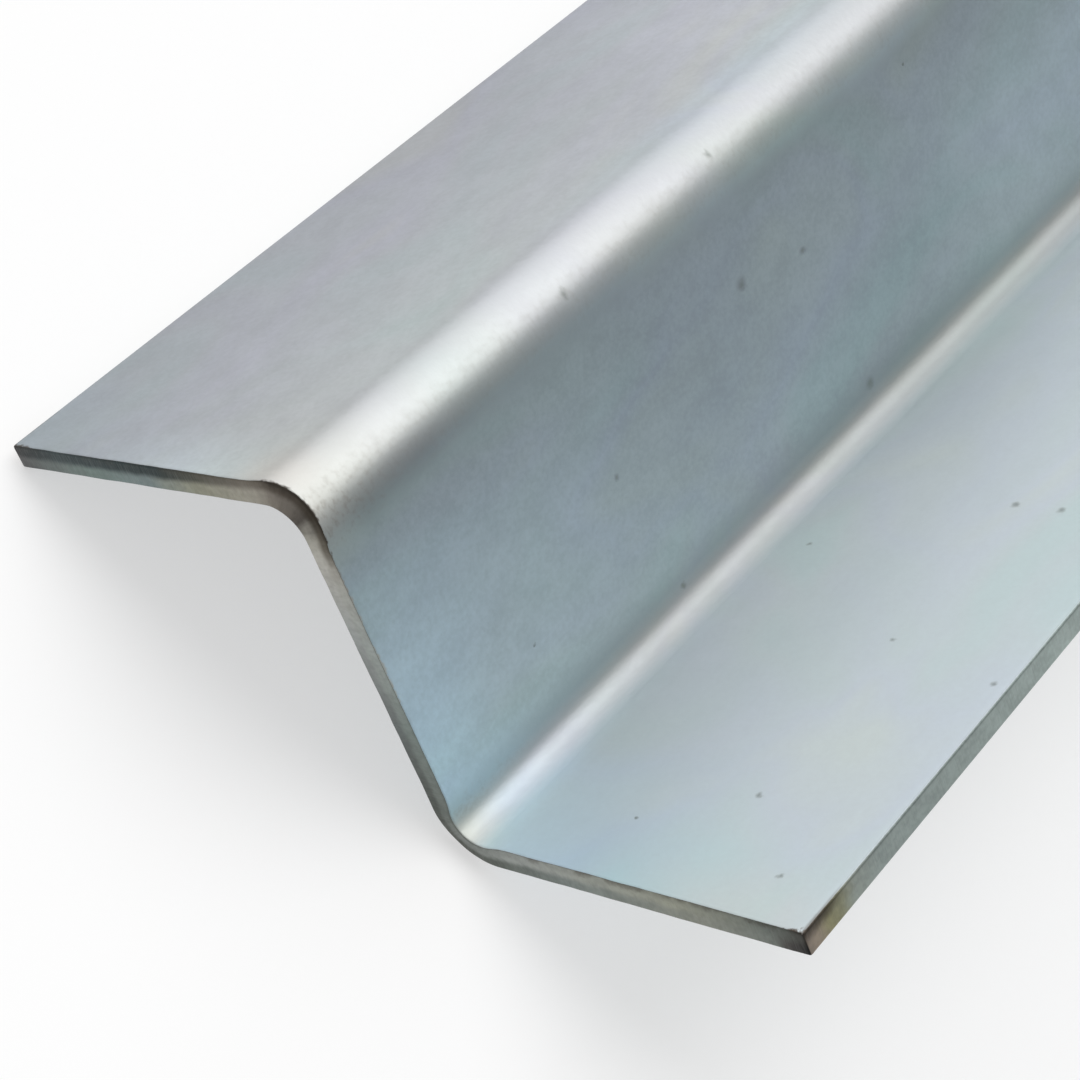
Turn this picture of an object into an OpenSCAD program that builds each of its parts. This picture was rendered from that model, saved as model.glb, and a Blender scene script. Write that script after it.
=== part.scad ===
// Folded steel Z-profile: one strip of sheet with two opposite right-angle folds.
// It lies as it comes to rest on a floor, on its lower fold and on the tip of its upper flange.
// X runs along the length and Z is up. The origin is on the floor, under the middle of the profile.

/* [Section] */
// Overall width of the flange at the top of the web
upper_flange = 50; // [30:1:150]
// Overall width of the flange at the foot of the web
lower_flange = 50; // [30:1:150]
// Overall height across the outer faces of both flanges
web_height = 50; // [40:1:150]
// Thickness of the sheet
sheet = 3; // [1:0.5:5]
// Inside radius of both folds
fold_r = 4; // [1:0.5:10]

/* [Cut] */
// Length that the profile is cut to
length = 1000; // [250:10:6000]
// Radius left on the sheared edges once they are deburred
edge_r = 0.3; // [0.1:0.05:0.45]

/* [Hidden] */
$fn = 96;
zinc = [0.70, 0.73, 0.77];

// Outside radius of the folds
fold_out = fold_r + sheet;

// Flat stretches that the folds leave
upper_flat = upper_flange - fold_out;
lower_flat = lower_flange - fold_out;
web_flat = web_height - 2 * fold_out;

// Section points with the web upright, x to the right and y up, from the lower fold's outer corner
lower_fold = [fold_out, fold_out];
upper_fold = [-fold_r, web_height - fold_out];
upper_tip = sheet - upper_flange + edge_r;
upper_tip_under = [upper_tip, web_height - sheet + edge_r];
upper_tip_over = [upper_tip, web_height - edge_r];
lower_tip_under = [lower_flange - edge_r, edge_r];

// Lean at which the lower fold and the upper flange's tip touch the floor together
span = upper_tip_under - lower_fold;
lean = atan2(span.y, -span.x) + asin((fold_out - edge_r) / norm(span));

// A section point once the profile leans over
function leant(p) = [p.x * cos(lean) - p.y * sin(lean), p.x * sin(lean) + p.y * cos(lean)];
floor_y = leant(lower_fold).y - fold_out;
left_x = leant(upper_tip_over).x - edge_r;
right_x = leant(lower_tip_under).x + edge_r;
middle_x = (left_x + right_x) / 2;

// Rectangle whose corners have the deburred radius
module edged_rectangle(size) {
    translate([edge_r, 0]) square([size.x - 2 * edge_r, size.y]);
    translate([0, edge_r]) square([size.x, size.y - 2 * edge_r]);
    for (x = [edge_r, size.x - edge_r], y = [edge_r, size.y - edge_r])
        translate([x, y]) circle(edge_r);
}

// The sheet seen on its long edge: thickness along x, length along y
module sheet_edge() {
    translate([0, -length / 2]) edged_rectangle([sheet, length]);
}

// Flat stretch of sheet from x = 0, with its length along z
module strip(width) {
    rotate([90, 0, 90]) linear_extrude(width) sheet_edge();
}

// Flat stretch that ends in a flange's tip
module flange(width) {
    intersection() {
        strip(width);
        linear_extrude(length + sheet, center = true)
            translate([-sheet, 0]) edged_rectangle([width + sheet, sheet]);
    }
}

// Quarter turn of sheet about its inside radius
module fold() {
    rotate_extrude(angle = 90) translate([fold_r, 0]) sheet_edge();
}

// The folded strip with its web upright and its length along z
module folded_strip() {
    translate([fold_out, 0, 0]) flange(lower_flat);
    translate(lower_fold) rotate(180) fold();
    translate([sheet, fold_out, 0]) rotate(90) strip(web_flat);
    translate(upper_fold) fold();
    translate([-fold_r, web_height, 0]) rotate(180) flange(upper_flat);
}

module z_profile() {
    color(zinc)
        rotate([90, 0, -90])
            translate([-middle_x, -floor_y, 0])
                rotate(lean) folded_strip();
}

z_profile();
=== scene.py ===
import bpy
import bmesh
from math import asin, atan2, cos, hypot, pi, radians, sin, tan
from mathutils import Matrix, Vector


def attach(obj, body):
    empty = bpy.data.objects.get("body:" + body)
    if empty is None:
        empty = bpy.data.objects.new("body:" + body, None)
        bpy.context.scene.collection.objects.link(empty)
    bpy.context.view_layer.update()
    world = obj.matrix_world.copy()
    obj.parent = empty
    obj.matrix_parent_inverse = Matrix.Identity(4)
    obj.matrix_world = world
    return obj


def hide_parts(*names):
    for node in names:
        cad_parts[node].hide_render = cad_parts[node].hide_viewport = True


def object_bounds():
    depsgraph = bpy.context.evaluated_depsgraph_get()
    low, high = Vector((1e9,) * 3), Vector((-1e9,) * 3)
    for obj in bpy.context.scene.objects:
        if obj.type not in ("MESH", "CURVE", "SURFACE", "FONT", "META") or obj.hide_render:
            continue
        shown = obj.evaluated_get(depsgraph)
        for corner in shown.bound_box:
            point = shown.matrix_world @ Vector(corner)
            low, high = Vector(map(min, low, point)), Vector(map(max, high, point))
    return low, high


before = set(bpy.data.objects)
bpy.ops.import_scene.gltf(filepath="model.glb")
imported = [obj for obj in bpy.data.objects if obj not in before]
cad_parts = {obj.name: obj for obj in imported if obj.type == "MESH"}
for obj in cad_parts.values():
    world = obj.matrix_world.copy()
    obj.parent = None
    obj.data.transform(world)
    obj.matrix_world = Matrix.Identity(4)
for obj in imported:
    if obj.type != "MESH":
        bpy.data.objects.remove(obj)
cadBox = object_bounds()
scene = bpy.context.scene
scene.view_settings.view_transform = "Standard"
print("frame loaded:", list(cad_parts))

# sizes of the folded strip in metres, the same as in the part's source
profile = {
    "length": cadBox[1][0] - cadBox[0][0],
    "upperFlange": 0.050,
    "lowerFlange": 0.050,
    "webHeight": 0.050,
    "sheet": 0.003,
    "foldRadius": 0.004,
    "edgeRadius": 0.0003,
    "edgeSteps": 3,
    "edgeAngle": 50,        # folds below this angle are left alone by the bevel
    "normalWeight": 80,
    "foldSteps": 26,
    "flatSteps": 36,
    "endLoops": (0.0006, 0.0013, 0.0022, 0.0034, 0.005, 0.0075, 0.012, 0.02, 0.04, 0.08, 0.16, 0.32),
    "foldPull": 0.0009,     # the upper fold's stretched side draws back this far from the cut
    "foldBulge": 0.0006,    # the lower fold's squeezed side stands out of the cut this far
    "foldReach": 0.006,
    "foldSpill": (0.002, 0.0015),
    "cutPasses": 8,
    "shearWobble": 0.00016,
    "shearGrain": 0.004,
}

foldOut = profile["foldRadius"] + profile["sheet"]
foldMid = profile["foldRadius"] + profile["sheet"] / 2
foldArc = foldMid * pi / 2
upperFlat = profile["upperFlange"] - foldOut
lowerFlat = profile["lowerFlange"] - foldOut
webFlat = profile["webHeight"] - 2 * foldOut
upperFoldAt = (profile["foldRadius"], profile["webHeight"] - foldOut)   # y, z with the web upright
lowerFoldAt = (-foldOut, foldOut)
halfLength = profile["length"] / 2
stripWidth = upperFlat + lowerFlat + webFlat + 2 * foldArc


def deselectAll():
    bpy.ops.object.select_all(action="DESELECT")


def pickEdges(piece, test):
    # edit mode: selects the edges whose middle passes the test
    mesh = bmesh.from_edit_mesh(piece.data)
    for edge in mesh.edges:
        a, b = edge.verts
        edge.select_set(test((a.co + b.co) / 2, b.co - a.co))
    bmesh.update_edit_mesh(piece.data)


def useModifier(piece, kind, **settings):
    modifier = piece.modifiers.new(kind.title(), kind)
    for name, value in settings.items():
        setattr(modifier, name, value)
    bpy.ops.object.modifier_apply(modifier=modifier.name)


def onSheet(y, z):
    # place on the unfolded strip: distance from the upper flange's tip, height off the middle of the sheet
    half = profile["sheet"] / 2
    if z > upperFoldAt[1] and y > upperFoldAt[0]:
        return upperFlat + upperFoldAt[0] - y, z - profile["webHeight"] + half
    if z > upperFoldAt[1]:
        across, up = upperFoldAt[0] - y, z - upperFoldAt[1]
        return upperFlat + foldMid * atan2(across, up), hypot(across, up) - foldMid
    if z > lowerFoldAt[1]:
        return upperFlat + foldArc + upperFoldAt[1] - z, -y - half
    if y > lowerFoldAt[0]:
        across, down = y - lowerFoldAt[0], lowerFoldAt[1] - z
        return upperFlat + foldArc + webFlat + foldMid * atan2(down, across), foldMid - hypot(across, down)
    return upperFlat + 2 * foldArc + webFlat + lowerFoldAt[0] - y, z - half


def foldStrip():
    # lower flange as a plane, then each fold is spun and each flat extruded from the edge before it
    deselectAll()
    bpy.ops.mesh.primitive_plane_add(
        size=1, location=(0, lowerFoldAt[0] - lowerFlat / 2, profile["sheet"] / 2))
    strip = bpy.context.object
    strip.name = "zinc_z_profile"
    strip.data.name = "zinc_z_profile"
    strip.scale = (profile["length"], lowerFlat, 1)
    bpy.ops.object.transform_apply(location=True, rotation=True, scale=True)
    bpy.ops.object.mode_set(mode="EDIT")
    bpy.ops.mesh.select_mode(type="EDGE")
    bpy.ops.mesh.select_all(action="DESELECT")
    pickEdges(strip, lambda at, way: abs(at.y - lowerFoldAt[0]) < 1e-6)
    bpy.ops.mesh.spin(steps=profile["foldSteps"], angle=-pi / 2, center=(0, *lowerFoldAt), axis=(1, 0, 0))
    bpy.ops.mesh.extrude_region_move(TRANSFORM_OT_translate={"value": (0, 0, webFlat)})
    bpy.ops.mesh.spin(steps=profile["foldSteps"], angle=pi / 2, center=(0, *upperFoldAt), axis=(1, 0, 0))
    bpy.ops.mesh.extrude_region_move(TRANSFORM_OT_translate={"value": (0, upperFlat, 0)})
    # flats get cross lines, and the ends get loops close to the cut
    pickEdges(strip, lambda at, way: abs(way.x) < 1e-6 and way.length > webFlat / 2)
    bpy.ops.mesh.subdivide(number_cuts=profile["flatSteps"] - 1)
    for inset in profile["endLoops"]:
        for side in (-1, 1):
            bpy.ops.mesh.select_all(action="SELECT")
            bpy.ops.mesh.bisect(plane_co=(side * (halfLength - inset), 0, 0), plane_no=(1, 0, 0))
    bpy.ops.mesh.select_all(action="SELECT")
    bpy.ops.mesh.remove_doubles(threshold=1e-6)
    bpy.ops.mesh.normals_make_consistent(inside=False)
    bpy.ops.object.mode_set(mode="OBJECT")
    print("strip folded:", len(strip.data.polygons), "faces")
    return strip


def thickenStrip(strip):
    # the plane is the middle of the sheet, and the rim of the wall is what the shears cut
    deselectAll()
    bpy.context.view_layer.objects.active = strip
    strip.select_set(True)
    for slot in range(2):     # plated faces, sheared rims
        strip.data.materials.append(None)
    useModifier(strip, "SOLIDIFY", thickness=profile["sheet"], offset=0, use_even_offset=True,
                material_offset_rim=1)
    ends = {"nearCut": -1, "farCut": 1}
    for name, side in ends.items():
        rim = strip.vertex_groups.new(name=name)
        draw = strip.vertex_groups.new(name=name + "Fold")
        for v in strip.data.vertices:
            inset = halfLength - side * v.co.x
            if inset < profile["foldReach"]:
                rim.add([v.index], (1 - inset / profile["foldReach"]) ** 3, "REPLACE")
                draw.add([v.index], foldDrawAt(inset, *onSheet(v.co.y, v.co.z)), "REPLACE")
        shear = bpy.data.textures.new(name + "Shear", "CLOUDS")
        shear.noise_scale = profile["shearGrain"]
        useModifier(strip, "DISPLACE", direction="X", mid_level=0, vertex_group=draw.name,
                    strength=-side * (profile["foldPull"] + profile["foldBulge"]))
        useModifier(strip, "DISPLACE", direction="X", mid_level=0, vertex_group=rim.name, texture=shear,
                    strength=-side * profile["shearWobble"])
    useModifier(strip, "BEVEL", width=profile["edgeRadius"], segments=profile["edgeSteps"],
                limit_method="ANGLE", angle_limit=radians(profile["edgeAngle"]))
    strip.vertex_groups.clear()
    print("sheet thickened:", len(strip.data.polygons), "faces")


def foldDrawAt(inset, across, height):
    # how far the cut is drawn in, as a share of pull and bulge: the bulge alone on the flats,
    # both where the upper fold is stretched, nothing where the lower fold is squeezed out
    reach = max(1 - inset / profile["foldReach"], 0) ** 2
    outer = 0.5 + height / profile["sheet"]
    fromUpper = abs(across - upperFlat - foldArc / 2)
    fromLower = abs(across - upperFlat - foldArc * 1.5 - webFlat)
    upper = max(1 - (fromUpper / (foldArc / 2 + profile["foldSpill"][0])) ** 2, 0)
    lower = max(1 - (fromLower / (foldArc / 2 + profile["foldSpill"][1])) ** 2, 0)
    drawn = profile["foldBulge"] * (1 - outer * lower) + profile["foldPull"] * outer * upper ** 2
    return reach * drawn / (profile["foldPull"] + profile["foldBulge"])


def fromCut(inset, across, height):
    # distance from the cut as it was before the folds drew it in
    start = inset
    for step in range(profile["cutPasses"]):
        drawn = foldDrawAt(start, across, height) * (profile["foldPull"] + profile["foldBulge"])
        start = max(inset - drawn, 0)
    return start


def noteSheetPlaces(strip):
    # the material follows the unfolded strip: along, across and off the middle of the sheet
    places = strip.data.attributes.new("onSheet", "FLOAT_VECTOR", "POINT")
    for v in strip.data.vertices:
        across, height = onSheet(v.co.y, v.co.z)
        along = fromCut(halfLength - abs(v.co.x), across, height)
        if v.co.x > 0:
            along = profile["length"] - along
        places.data[v.index].vector = (along, across, height)


def layDown(strip):
    # the profile tips over until the lower fold and the upper flange's tip both touch the floor
    edge = profile["edgeRadius"]
    tipAt = (profile["upperFlange"] - profile["sheet"] - edge,
             profile["webHeight"] - profile["sheet"] + edge)
    reach, rise = tipAt[0] - lowerFoldAt[0], tipAt[1] - lowerFoldAt[1]
    lean = atan2(rise, reach) + asin((foldOut - edge) / hypot(reach, rise))
    strip.rotation_euler.x = -lean
    bpy.ops.object.transform_apply(location=True, rotation=True, scale=True)
    low = [min(v.co[i] for v in strip.data.vertices) for i in (1, 2)]
    high = max(v.co.y for v in strip.data.vertices)
    strip.location = (0, -(low[0] + high) / 2, -low[1])
    bpy.ops.object.transform_apply(location=True, rotation=True, scale=True)
    print("laid down, leaning", round(lean * 180 / pi, 2), "degrees")


strip = foldStrip()
thickenStrip(strip)
noteSheetPlaces(strip)
layDown(strip)
bpy.ops.object.shade_smooth()
useModifier(strip, "WEIGHTED_NORMAL", keep_sharp=False, weight=profile["normalWeight"])
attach(strip, "root")
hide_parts("z_profile")


# film colours, marks and grain of the plated faces, with painted shade and highlight in the zones, end tints
# and spots; positions are shares of the unfolded width, marks in mm
zincLook = {
    # zones: film colour across the strip with painted shade and highlight: lower flange lighter than the
    # upper, dark bands beside both folds, fold highlights shaped
    "filmAndShadeZones": (
        (0.00, (0.36, 0.38, 0.41)),
        (0.14, (0.40, 0.42, 0.45)),
        (0.30, (0.45, 0.48, 0.49)),
        (0.32, (0.42, 0.44, 0.45)),
        (0.35, (0.48, 0.50, 0.49)),
        (0.37, (0.345, 0.405, 0.425)),
        (0.50, (0.41, 0.48, 0.515)),
        (0.61, (0.375, 0.44, 0.46)),
        (0.63, (0.315, 0.375, 0.385)),
        (0.65, (0.36, 0.38, 0.37)),
        (0.67, (0.32, 0.34, 0.34)),
        (0.69, (0.585, 0.635, 0.64)),
        (0.86, (0.575, 0.63, 0.64)),
        (1.00, (0.595, 0.66, 0.68)),
    ),
    "patchScale": 0.045,    # noise scales, per mm
    "mottleScale": 0.35,
    "grainScale": 1.6,
    "patches": (
        (0.30, (0.96, 1.02, 1.00)),
        (0.43, (1.00, 1.00, 1.00)),
        (0.55, (1.01, 0.99, 1.03)),
        (0.68, (1.04, 1.02, 0.99)),
    ),
    # end tint: film tint near the cuts, with painted reflection lightening the web by the valley and painted
    # shade beside the upper fold
    "endTintAndPaintedLight": (
        (0.00, (0.92, 1.00, 0.99)),
        (0.33, (1.03, 1.00, 0.95)),
        (0.37, (0.88, 0.87, 0.84)),
        (0.42, (1.06, 1.12, 1.12)),
        (0.62, (1.19, 1.27, 1.31)),
        (0.78, (0.89, 0.98, 1.04)),
        (1.00, (1.02, 1.03, 1.01)),
    ),
    "endReach": 24,
    "filmAndShadeSpots": (             # along, across, reach along and across in mm, gain; film tone mixed with painted shade and painted highlight
        (60, 70, 38, 19, (0.79, 0.79, 0.81)),
        (98, 74, 34, 21, (0.83, 0.82, 0.83)),
        (92, 50.8, 72, 2.8, (1.26, 1.29, 1.25)),
        (88, 42.5, 46, 5, (1.03, 1.08, 1.12)),
        (16, 51, 16, 3, (0.88, 0.87, 0.88)),
        (0, 52, 8, 5, (1.27, 1.21, 1.19)),
        (0, 32, 11, 20, (1.13, 1.19, 1.20)),
        (2, 43, 8, 6, (1.06, 1.00, 0.97)),
        (105, 20, 26, 40, (1.12, 1.12, 1.12)),
        (14, 81, 26, 9, (1.10, 1.12, 1.10)),
        (14, 91, 24, 8, (1.11, 1.14, 1.20)),
        (0, 92.5, 8, 7, (1.08, 0.99, 0.86)),
        (55, 101, 40, 12, (1.08, 1.06, 1.06)),
        (78, 86, 48, 5, (0.87, 0.86, 0.87)),
        (1, 128, 9, 16, (1.08, 0.97, 0.96)),
    ),
    "mottleFade": (0.3, 0.7),
    "mottle": ((0.29, 0.14), (0.33, 0.06), (0.36, 0.06), (0.40, 0.17), (0.61, 0.17), (0.64, 0.06),
               (1.00, 0.06)),
    "speckColor": (0.14, 0.155, 0.135),
    "speckStrength": 0.55,
    "raggedAlong": 1.6,     # how far noise pulls the specks out of round, mm
    "raggedAcross": 1,
    "specks": ((69.5, 62.9, 1.3), (81.2, 65.3, 0.8), (40, 70.6, 0.6), (70, 121.8, 0.8), (70, 128, 0.8),
               (58, 100, 0.5), (17, 122, 0.6), (43.7, 121.5, 0.5), (40, 137.3, 0.6), (7, 132, 0.6),
               (43.7, 48.9, 0.8), (72.7, 48, 0.7), (85, 87.2, 1.3), (43.7, 88.8, 0.8)),
    "dustScale": 0.1,       # small specks, one at most in each cell of the noise
    "dustShare": 0.5,       # of the cells that have one
    "dustSize": 0.035,
    "dustCore": 0.4,
    "dustStrength": 0.6,
    "scuffColor": (0.24, 0.22, 0.19),
    "scuffGrain": (0.40, 0.80),
    "scuffFade": (16, 3, 0.35, 1),          # mm from the cut, weak to strong
    "scuffs": ((0.335, 0), (0.35, 0.5), (0.37, 0.5), (0.385, 0), (0.615, 0), (0.635, 0.35), (0.655, 0)),
    "stainReach": ((0.00, 0.9), (0.03, 0.1), (0.28, 0.1), (0.32, 0.6), (0.37, 0.6), (0.40, 0.45),
                   (0.52, 0.5), (0.56, 0), (0.97, 0), (0.985, 0.7), (1.00, 1)),
    "stainDepth": 2.2,      # mm
    "stainSolid": 0.3,
    "stainColors": ((0.02, (0.10, 0.09, 0.08)), (0.33, (0.045, 0.032, 0.025)), (0.37, (0.06, 0.045, 0.035)),
                    (0.41, (0.40, 0.38, 0.34)), (0.53, (0.48, 0.49, 0.46)), (0.57, (0.20, 0.21, 0.20)),
                    (1.00, (0.12, 0.09, 0.07))),
    "rimShade": 0.7,        # how bright the plated side of the deburred long edges is; a painted shade against the lamp's glint
    "rimColor": (0.14, 0.12, 0.10),
    "rimWidth": 1.1,
    "rimFade": (9, 4, 0, 0.8),              # mm from the cut, weak to strong
    "roughness": (0.45, 0.50),
    "satin": ((0.67, 0), (0.71, 0.15), (1.00, 0.15)),       # roughness added on the lower flange
    "grainDepth": 0.00002,
}

# bands and colours of the sheared edges, from the upper flange's tip to the lower flange's edge
cutLook = {
    "endFacing": (0.4, 0.75),   # how squarely a face looks along the length, long edge to cut end
    "lowerColors": (
        (0.00, (0.14, 0.14, 0.14)),
        (0.10, (0.20, 0.26, 0.24)),
        (0.17, (0.21, 0.26, 0.26)),
        (0.23, (0.31, 0.31, 0.24)),
        (0.30, (0.36, 0.34, 0.29)),
        (0.325, (0.20, 0.18, 0.155)),
        (0.352, (0.09, 0.08, 0.07)),
        (0.372, (0.38, 0.37, 0.325)),
        (0.39, (0.47, 0.46, 0.42)),
        (0.46, (0.36, 0.38, 0.37)),
        (0.55, (0.16, 0.18, 0.175)),
        (0.66, (0.10, 0.11, 0.09)),
        (0.77, (0.23, 0.26, 0.245)),
        (0.90, (0.28, 0.29, 0.25)),
        (0.965, (0.19, 0.21, 0.19)),
        (0.982, (0.07, 0.065, 0.06)),
        (1.00, (0.01, 0.01, 0.01)),
    ),
    "upperColors": (
        (0.00, (0.05, 0.05, 0.05)),
        (0.06, (0.055, 0.075, 0.078)),
        (0.19, (0.03, 0.045, 0.045)),
        (0.24, (0.09, 0.09, 0.07)),
        (0.295, (0.19, 0.17, 0.14)),
        (0.325, (0.09, 0.075, 0.06)),
        (0.355, (0.045, 0.037, 0.027)),
        (0.375, (0.16, 0.145, 0.115)),
        (0.395, (0.40, 0.39, 0.35)),
        (0.46, (0.38, 0.41, 0.39)),
        (0.55, (0.22, 0.26, 0.24)),
        (0.64, (0.19, 0.21, 0.19)),
        (0.72, (0.36, 0.38, 0.36)),
        (0.88, (0.33, 0.34, 0.28)),
        (0.965, (0.16, 0.18, 0.16)),
        (1.00, (0.04, 0.035, 0.03)),
    ),
    "bandDrift": 0.03,      # wander of the colours along the cut, as a share of the width
    "shareDrift": 0.5,
    "shareFade": 0.16,
    "upperShare": ((0.00, 0.48), (0.20, 0.48), (0.30, 0.34), (0.36, 0.34), (0.50, 0.5), (1.00, 0.5)),
    "longEdge": ((0.00, (0.24, 0.20, 0.17)), (0.05, (0.34, 0.29, 0.23)), (0.10, (0.30, 0.29, 0.17)),
                 (0.14, (0.30, 0.31, 0.22)), (0.19, (0.33, 0.37, 0.34)), (0.28, (0.33, 0.385, 0.37)),
                 (0.60, (0.35, 0.41, 0.395)), (1.00, (0.42, 0.495, 0.475))),
    "longReach": 50,
    "longDrift": 4,
    "nickGrain": 0.5,
    "nickFade": (0.94, 1.22),
    "nickGaps": (0.40, 0.64),
    "nicks": ((0.00, 0.2), (0.25, 0.3), (0.32, 0.9), (0.37, 0.9), (0.40, 0), (0.68, 0), (0.71, 0.55),
              (0.90, 0.55), (0.96, 1), (1.00, 1)),
    "edgeLine": (0.05, 0.042, 0.033),
    "lineDrift": 0.7,
    "lineFade": (0.85, 1.3),
    "lineReach": (9, 4, 0, 0.85),           # mm from the cut, weak to strong
    "topShade": (0.85, 0.96, 1, 0.65),      # painted shade: the top of a long edge is darker, against the lamp's glint
    "blotches": (0.9, 1.1),
    "scratches": (0.92, 1.08),
    "scratchFade": (0.3, 0.7),
    "scratchScale": (3.5, 3.5, 0.4),
    "scratchDepth": 0.00006,
    "metallic": 0.85,
    "roughness": (0.42, 0.62),
}

studio = {
    "aim": (-0.43, 0, 0.02),
    "away": 20,
    "lamps": {              # azimuth from +X towards +Y, elevation, angular radius, radiance
        "sideLamp": (60, 33, 24, 1.75),
        "topLamp": (10, 65, 24, 2.45),
    },
    "world": 0.46,
    "floorSize": 80,
    "floorColor": (0.5, 0.5, 0.5),
    "floorGlow": 0.5,      # lifts the floor to white for camera and mirror rays
}

photoView = {
    "lens": 85,
    "sensor": 36,
    "clipStart": 0.01,
    "at": (-0.6256, -0.0515, 0.2493),
    "forward": (0.5401, 0.1790, -0.8224),
    "up": (0.5800, 0.6287, 0.5179),
}


def putNode(tree, kind, **settings):
    node = tree.nodes.new("ShaderNode" + kind)
    node.location = (len(tree.nodes) % 9 * 200, -(len(tree.nodes) // 9) * 300)
    for name, value in settings.items():
        setattr(node, name, value)
    return node


def feed(tree, socket, value):
    if isinstance(value, bpy.types.NodeSocket):
        tree.links.new(value, socket)
    else:
        socket.default_value = value


def mathNode(tree, operation, *values):
    node = putNode(tree, "Math", operation=operation)
    for socket, value in zip(node.inputs, values):
        feed(tree, socket, value)
    return node.outputs["Value"]


def vectorNode(tree, operation, *values):
    node = putNode(tree, "VectorMath", operation=operation)
    for socket, value in zip(node.inputs, values):
        feed(tree, socket, value)
    return node.outputs["Value" if operation in ("LENGTH", "DISTANCE") else "Vector"]


def fadeNode(tree, value, start, end, low=0, high=1):
    # low up to start, high from end on, smooth between
    node = putNode(tree, "MapRange", interpolation_type="SMOOTHSTEP")
    names = ("Value", "From Min", "From Max", "To Min", "To Max")
    for name, number in zip(names, (value, start, end, low, high)):
        feed(tree, node.inputs[name], number)
    return node.outputs["Result"]


def noiseNode(tree, place, scale, detail=2, distortion=0, stretch=(1, 1, 1)):
    node = putNode(tree, "TexNoise")
    feed(tree, node.inputs["Vector"], vectorNode(tree, "MULTIPLY", place, stretch))
    for name, number in (("Scale", scale), ("Detail", detail), ("Distortion", distortion)):
        node.inputs[name].default_value = number
    return node


def rampNode(tree, factor, stops):
    node = putNode(tree, "ValToRGB")
    elements = node.color_ramp.elements
    for i, (at, color) in enumerate(stops):
        stop = elements[0] if i == 0 else elements[-1] if i == len(stops) - 1 else elements.new(at)
        stop.position = at
        stop.color = (*color, 1) if isinstance(color, tuple) else (color, color, color, 1)
    feed(tree, node.inputs["Fac"], factor)
    return node.outputs["Color"]


def mixNode(tree, factor, a, b, blend="MIX"):
    node = putNode(tree, "Mix", data_type="RGBA", blend_type=blend)
    for socket, value in ((node.inputs[0], factor), (node.inputs[6], a), (node.inputs[7], b)):
        feed(tree, socket, (*value, 1) if isinstance(value, tuple) else value)
    return node.outputs[2]


def newGroup(name, takes, gives):
    tree = bpy.data.node_groups.new(name, "ShaderNodeTree")
    for socket, kind in takes.items():
        tree.interface.new_socket(socket, in_out="INPUT", socket_type="NodeSocket" + kind)
    for socket, kind in gives.items():
        tree.interface.new_socket(socket, in_out="OUTPUT", socket_type="NodeSocket" + kind)
    ends = tree.nodes.new("NodeGroupInput"), tree.nodes.new("NodeGroupOutput")
    ends[1].location = (2000, 0)
    return tree, ends[0].outputs, ends[1].inputs


def useGroup(tree, group, **values):
    node = putNode(tree, "Group", node_tree=group)
    for name, value in values.items():
        feed(tree, node.inputs[name], value)
    return node.outputs


def makeSheetPlace():
    # millimetres along, across and off the middle of the unfolded strip
    tree, takes, gives = newGroup("sheetPlace", {}, {
        "Place": "Vector", "Across": "Float", "Height": "Float", "FromEnd": "Float"})
    place = putNode(tree, "Attribute", attribute_name="onSheet")
    scaled = vectorNode(tree, "MULTIPLY", place.outputs["Vector"], (1000, 1000, 1000))
    parts = putNode(tree, "SeparateXYZ")
    feed(tree, parts.inputs["Vector"], scaled)
    feed(tree, gives["Place"], scaled)
    for name, axis in (("Across", "Y"), ("Height", "Z")):
        feed(tree, gives[name], parts.outputs[axis])
    left = mathNode(tree, "SUBTRACT", profile["length"] * 1000, parts.outputs["X"])
    feed(tree, gives["FromEnd"], mathNode(tree, "MINIMUM", parts.outputs["X"], left))
    return tree


def makePlating():
    # film patches, soft mottle and fine grain of the plating, and a small ragged offset for marks
    tree, takes, gives = newGroup("plating", {"Place": "Vector"}, {
        "Patch": "Float", "Drift": "Float", "Soft": "Float",
        "Mottle": "Float", "Grain": "Float", "Ragged": "Vector"})
    patches = noiseNode(tree, takes["Place"], zincLook["patchScale"], 2, 0.8, (0.55, 1, 1))
    patch = putNode(tree, "SeparateColor")
    feed(tree, patch.inputs[0], patches.outputs["Color"])
    soft = noiseNode(tree, takes["Place"], zincLook["mottleScale"], 3, 0, (0.7, 1, 1)).outputs["Fac"]
    fine = noiseNode(tree, takes["Place"], zincLook["grainScale"], 4).outputs["Fac"]
    both = mathNode(tree, "MULTIPLY", mathNode(tree, "ADD", soft, fine), 0.5)
    ragged = putNode(tree, "CombineXYZ")
    for axis, noise, spread in (("X", soft, zincLook["raggedAlong"]), ("Y", fine, zincLook["raggedAcross"])):
        feed(tree, ragged.inputs[axis], mathNode(tree, "MULTIPLY_ADD", noise, spread, -spread / 2))
    for name, value in (("Patch", patch.outputs[0]), ("Drift", patch.outputs[1]), ("Soft", soft),
                        ("Mottle", fadeNode(tree, both, *zincLook["mottleFade"])), ("Grain", fine),
                        ("Ragged", ragged.outputs[0])):
        feed(tree, gives[name], value)
    return tree


def makeCutStain():
    # brown stain creeping in from the cut, strongest round the upper fold and at the lower corner
    tree, takes, gives = newGroup(
        "cutStain", {"Mottle": "Float", "Across": "Float", "FromEnd": "Float"}, {"Mask": "Float"})
    across = mathNode(tree, "DIVIDE", takes["Across"], stripWidth * 1000)
    reach = mathNode(tree, "MULTIPLY", rampNode(tree, across, zincLook["stainReach"]), takes["Mottle"])
    reach = mathNode(tree, "MULTIPLY", reach, zincLook["stainDepth"])
    solid = mathNode(tree, "MULTIPLY", reach, zincLook["stainSolid"])
    feed(tree, gives["Mask"], fadeNode(tree, takes["FromEnd"], reach, solid))
    return tree


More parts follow.
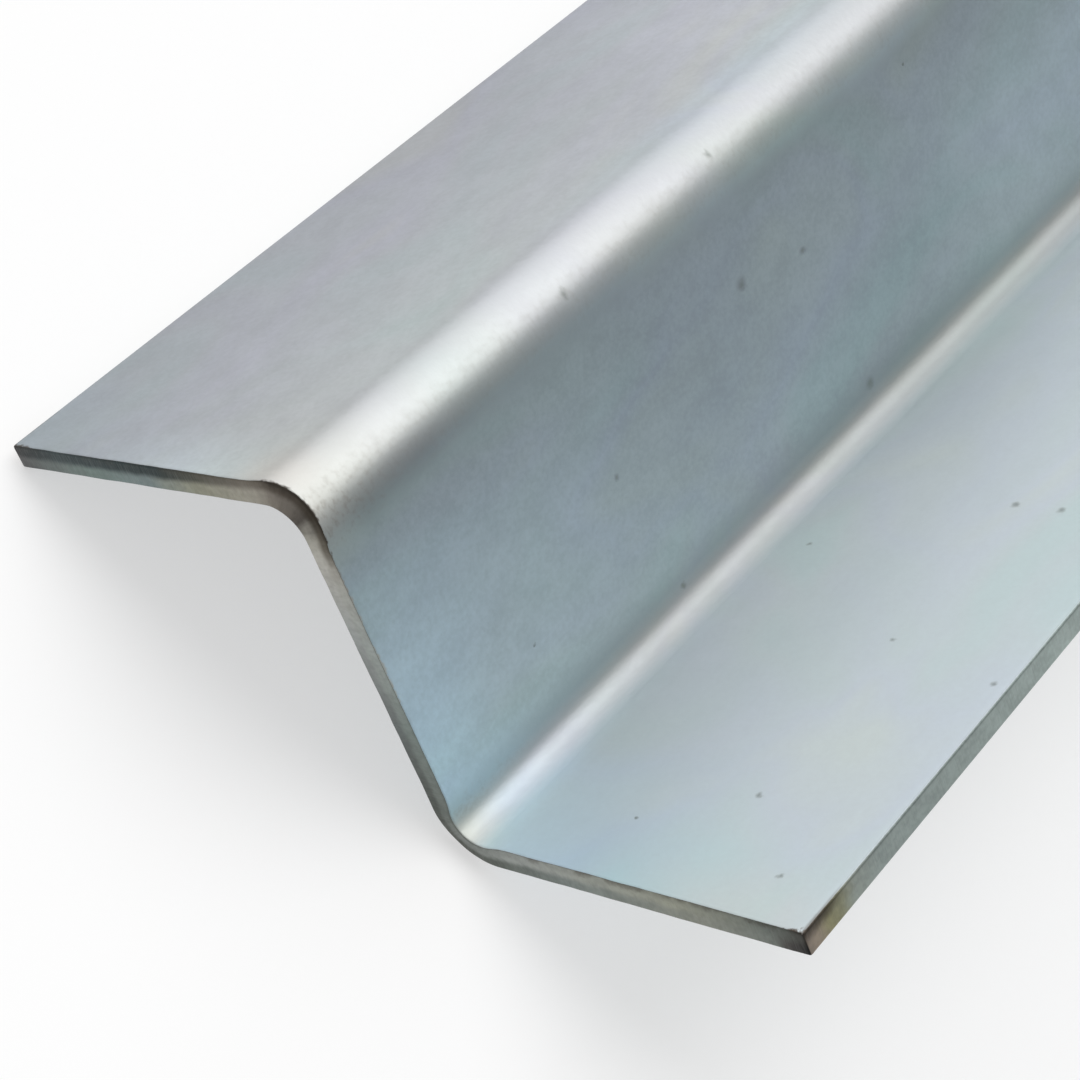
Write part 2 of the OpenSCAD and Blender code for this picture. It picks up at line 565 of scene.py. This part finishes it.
def makeZinc(groups):
    material = bpy.data.materials.new("zincPlate")
    material.use_nodes = True
    tree = material.node_tree
    shader = tree.nodes["Principled BSDF"]
    at = useGroup(tree, groups["place"])
    film = useGroup(tree, groups["plating"], Place=at["Place"])
    stain = useGroup(tree, groups["stain"],
                     Mottle=film["Mottle"], Across=at["Across"], FromEnd=at["FromEnd"])
    # film colour with painted shade and highlight: zones across the strip, soft patches, tinted ends, and
    # listed spots of film tone and painted shade
    across = mathNode(tree, "DIVIDE", at["Across"], stripWidth * 1000)
    color = rampNode(tree, across, zincLook["filmAndShadeZones"])
    color = mixNode(tree, 1, color, rampNode(tree, film["Patch"], zincLook["patches"]), "MULTIPLY")
    reach = mathNode(tree, "MULTIPLY", film["Drift"], zincLook["endReach"] * 2)
    nearEnd = fadeNode(tree, at["FromEnd"], reach, 0)
    color = mixNode(tree, nearEnd, color, rampNode(tree, across, zincLook["endTintAndPaintedLight"]), "MULTIPLY")
    # each spot lightens or darkens the film: some film tone, some painted shade on the web and painted
    # highlight along the folds
    for along, offTip, alongReach, acrossReach, gain in zincLook["filmAndShadeSpots"]:
        shadeSpotAt = vectorNode(tree, "MULTIPLY_ADD", at["Place"], (1 / alongReach, 1 / acrossReach, 0),
                           (-along / alongReach, -offTip / acrossReach, 0))
        inside = fadeNode(tree, vectorNode(tree, "LENGTH", shadeSpotAt), 1, 0)
        color = mixNode(tree, inside, color, gain, "MULTIPLY")
    mottle = mathNode(tree, "SUBTRACT", film["Mottle"], 0.5)
    mottle = mathNode(tree, "MULTIPLY_ADD", mottle, rampNode(tree, across, zincLook["mottle"]), 1)
    color = mixNode(tree, 1, color, mottle, "MULTIPLY")
    # specks: a few listed one by one where the eye catches them, small ones scattered
    shaken = vectorNode(tree, "ADD", at["Place"], film["Ragged"])
    cells = putNode(tree, "TexVoronoi")
    cells.inputs["Scale"].default_value = zincLook["dustScale"]
    feed(tree, cells.inputs["Vector"], shaken)
    luck = putNode(tree, "SeparateColor")
    feed(tree, luck.inputs[0], cells.outputs["Color"])
    size = fadeNode(tree, luck.outputs[0], 1 - zincLook["dustShare"], 1, 0, zincLook["dustSize"])
    core = mathNode(tree, "MULTIPLY", size, zincLook["dustCore"])
    marks = fadeNode(tree, cells.outputs["Distance"], size, core, 0, zincLook["dustStrength"])
    for along, offTip, radius in zincLook["specks"]:
        away = vectorNode(tree, "DISTANCE", shaken, (along, offTip, profile["sheet"] * 500))
        speck = fadeNode(tree, away, radius, 0, 0, zincLook["speckStrength"])
        marks = mathNode(tree, "MAXIMUM", marks, speck)
    color = mixNode(tree, marks, color, zincLook["speckColor"])
    # both folds are scuffed by the press brake, most near the cut
    scuffed = mathNode(tree, "MULTIPLY", fadeNode(tree, film["Grain"], *zincLook["scuffGrain"]),
                       rampNode(tree, across, zincLook["scuffs"]))
    scuffed = mathNode(tree, "MULTIPLY", scuffed, fadeNode(tree, at["FromEnd"], *zincLook["scuffFade"]))
    color = mixNode(tree, scuffed, color, zincLook["scuffColor"])
    # painted shade keeps the deburred long edges from glinting, and they are stained next to the corners
    fromRim = mathNode(tree, "SUBTRACT", stripWidth * 1000, at["Across"])
    fromRim = mathNode(tree, "MINIMUM", at["Across"], fromRim)
    rimShading = fadeNode(tree, fromRim, 0, profile["edgeRadius"] * 1500, zincLook["rimShade"], 1)
    color = mixNode(tree, 1, color, rimShading, "MULTIPLY")
    rim = fadeNode(tree, fromRim, mathNode(tree, "MULTIPLY", film["Soft"], zincLook["rimWidth"]), 0)
    rim = mathNode(tree, "MULTIPLY", rim, fadeNode(tree, at["FromEnd"], *zincLook["rimFade"]))
    color = mixNode(tree, rim, color, zincLook["rimColor"])
    color = mixNode(tree, stain["Mask"], color, rampNode(tree, across, zincLook["stainColors"]))
    feed(tree, shader.inputs["Base Color"], color)
    shader.inputs["Metallic"].default_value = 1
    roughness = fadeNode(tree, film["Mottle"], 0, 1, *zincLook["roughness"])
    roughness = mathNode(tree, "ADD", roughness, rampNode(tree, across, zincLook["satin"]))
    feed(tree, shader.inputs["Roughness"], roughness)
    bump = putNode(tree, "Bump")
    bump.inputs["Distance"].default_value = zincLook["grainDepth"]
    feed(tree, bump.inputs["Height"], film["Grain"])
    feed(tree, shader.inputs["Normal"], bump.outputs["Normal"])
    return material


def makeCut(groups):
    material = bpy.data.materials.new("shearedEdge")
    material.use_nodes = True
    tree = material.node_tree
    shader = tree.nodes["Principled BSDF"]
    at = useGroup(tree, groups["place"])
    film = useGroup(tree, groups["plating"], Place=at["Place"])
    across = mathNode(tree, "DIVIDE", at["Across"], stripWidth * 1000)
    height = mathNode(tree, "MULTIPLY_ADD", at["Height"], 0.001 / profile["sheet"], 0.5)
    wander = film["Soft"]
    # sheared ends: burnished upper part, torn lower part
    drift, spread, soft = cutLook["bandDrift"], cutLook["shareDrift"], cutLook["shareFade"]
    shifted = mathNode(tree, "MULTIPLY_ADD", wander, drift, mathNode(tree, "SUBTRACT", across, drift / 2))
    share = mathNode(tree, "MULTIPLY_ADD", wander, spread, 1 - spread / 2)
    share = mathNode(tree, "MULTIPLY", share, rampNode(tree, across, cutLook["upperShare"]))
    edge = mathNode(tree, "SUBTRACT", 1, share)
    upper = fadeNode(tree, height, mathNode(tree, "SUBTRACT", edge, soft), mathNode(tree, "ADD", edge, soft))
    ends = mixNode(tree, upper, rampNode(tree, shifted, cutLook["lowerColors"]),
                   rampNode(tree, shifted, cutLook["upperColors"]))
    # nicks along the top of the cut, as deep as the grain lets them
    torn = mathNode(tree, "MULTIPLY", film["Grain"], cutLook["nickGrain"])
    nicks = fadeNode(tree, mathNode(tree, "ADD", height, torn), *cutLook["nickFade"])
    nicks = mathNode(tree, "MULTIPLY", nicks, fadeNode(tree, wander, *cutLook["nickGaps"]))
    nicks = mathNode(tree, "MULTIPLY", nicks, rampNode(tree, across, cutLook["nicks"]))
    ends = mixNode(tree, nicks, ends, cutLook["edgeLine"])
    # long edges: grey-green, stained near the corners with a dark line along the top
    drift = cutLook["longDrift"]
    fromEnd = mathNode(tree, "SUBTRACT", at["FromEnd"], drift / 2)
    fromEnd = mathNode(tree, "MULTIPLY_ADD", wander, drift, fromEnd)
    fromEnd = mathNode(tree, "DIVIDE", fromEnd, cutLook["longReach"])
    sides = rampNode(tree, fromEnd, cutLook["longEdge"])
    line = mathNode(tree, "MULTIPLY_ADD", wander, cutLook["lineDrift"], height)
    line = fadeNode(tree, line, *cutLook["lineFade"])
    line = mathNode(tree, "MULTIPLY", line, fadeNode(tree, at["FromEnd"], *cutLook["lineReach"]))
    sides = mixNode(tree, line, sides, cutLook["edgeLine"])
    # painted shade on the rounded top of the long edges, where the lamp would glint
    sides = mixNode(tree, 1, sides, fadeNode(tree, height, *cutLook["topShade"]), "MULTIPLY")
    # end or long edge, by the way the face looks
    facing = putNode(tree, "SeparateXYZ")
    feed(tree, facing.inputs[0], putNode(tree, "NewGeometry").outputs["Normal"])
    isEnd = fadeNode(tree, mathNode(tree, "ABSOLUTE", facing.outputs["X"]), *cutLook["endFacing"])
    color = mixNode(tree, isEnd, sides, ends)
    # scratches left by the blade run through the thickness
    scratches = noiseNode(tree, at["Place"], 1, 4, 0, cutLook["scratchScale"]).outputs["Fac"]
    lighter = fadeNode(tree, scratches, *cutLook["scratchFade"], *cutLook["scratches"])
    color = mixNode(tree, 1, color, lighter, "MULTIPLY")
    color = mixNode(tree, 1, color, fadeNode(tree, film["Mottle"], 0, 1, *cutLook["blotches"]), "MULTIPLY")
    feed(tree, shader.inputs["Base Color"], color)
    shader.inputs["Metallic"].default_value = cutLook["metallic"]
    rougher = fadeNode(tree, scratches, *cutLook["scratchFade"], *cutLook["roughness"])
    feed(tree, shader.inputs["Roughness"], rougher)
    bump = putNode(tree, "Bump")
    bump.inputs["Distance"].default_value = cutLook["scratchDepth"]
    feed(tree, bump.inputs["Height"], scratches)
    feed(tree, shader.inputs["Normal"], bump.outputs["Normal"])
    return material


groups = {"place": makeSheetPlace(), "plating": makePlating(), "stain": makeCutStain()}
strip.data.materials[0] = makeZinc(groups)
strip.data.materials[1] = makeCut(groups)
print("materials made")


def makeFloor():
    deselectAll()
    bpy.ops.mesh.primitive_plane_add(size=studio["floorSize"])
    floor = bpy.context.object
    floor.name = "floor"
    material = bpy.data.materials.new("paleFloor")
    material.use_nodes = True
    tree = material.node_tree
    shader = tree.nodes["Principled BSDF"]
    shader.inputs["Base Color"].default_value = (*studio["floorColor"], 1)
    shader.inputs["Roughness"].default_value = 1
    shader.inputs["Specular IOR Level"].default_value = 0
    shader.inputs["Emission Color"].default_value = (1, 1, 1, 1)
    rays = putNode(tree, "LightPath").outputs
    seen = mathNode(tree, "MAXIMUM", rays["Is Camera Ray"],
                    mathNode(tree, "MAXIMUM", rays["Is Glossy Ray"], rays["Is Transmission Ray"]))
    feed(tree, shader.inputs["Emission Strength"], mathNode(tree, "MULTIPLY", seen, studio["floorGlow"]))
    floor.data.materials.append(material)


def lightStudio():
    for name, (azimuth, elevation, radius, radiance) in studio["lamps"].items():
        flat = cos(radians(elevation))
        way = Vector((flat * cos(radians(azimuth)), flat * sin(radians(azimuth)), sin(radians(elevation))))
        bpy.ops.object.light_add(type="AREA", location=Vector(studio["aim"]) + way * studio["away"])
        lamp = bpy.context.object
        lamp.name = name
        lamp.rotation_euler = (-way).to_track_quat("-Z", "Y").to_euler()
        lamp.data.shape = "DISK"
        lamp.data.size = 2 * studio["away"] * tan(radians(radius))
        lamp.data.energy = radiance * pi * pi * (lamp.data.size / 2) ** 2
    world = bpy.data.worlds.new("studio")
    scene.world = world
    world.use_nodes = True
    background = world.node_tree.nodes["Background"]
    background.inputs["Color"].default_value = (1, 1, 1, 1)
    background.inputs["Strength"].default_value = studio["world"]


def placeCamera():
    # where the photo was taken from, with the profile lying down
    bpy.ops.object.camera_add(location=photoView["at"])
    camera = bpy.context.object
    back = -Vector(photoView["forward"]).normalized()
    side = Vector(photoView["up"]).cross(back).normalized()
    camera.matrix_world = Matrix.LocRotScale(
        Vector(photoView["at"]), Matrix((side, back.cross(side), back)).transposed(), None)
    camera.data.lens = photoView["lens"]
    camera.data.sensor_width = photoView["sensor"]
    camera.data.clip_start = photoView["clipStart"]
    scene.camera = camera


makeFloor()
lightStudio()
placeCamera()
print("studio ready")
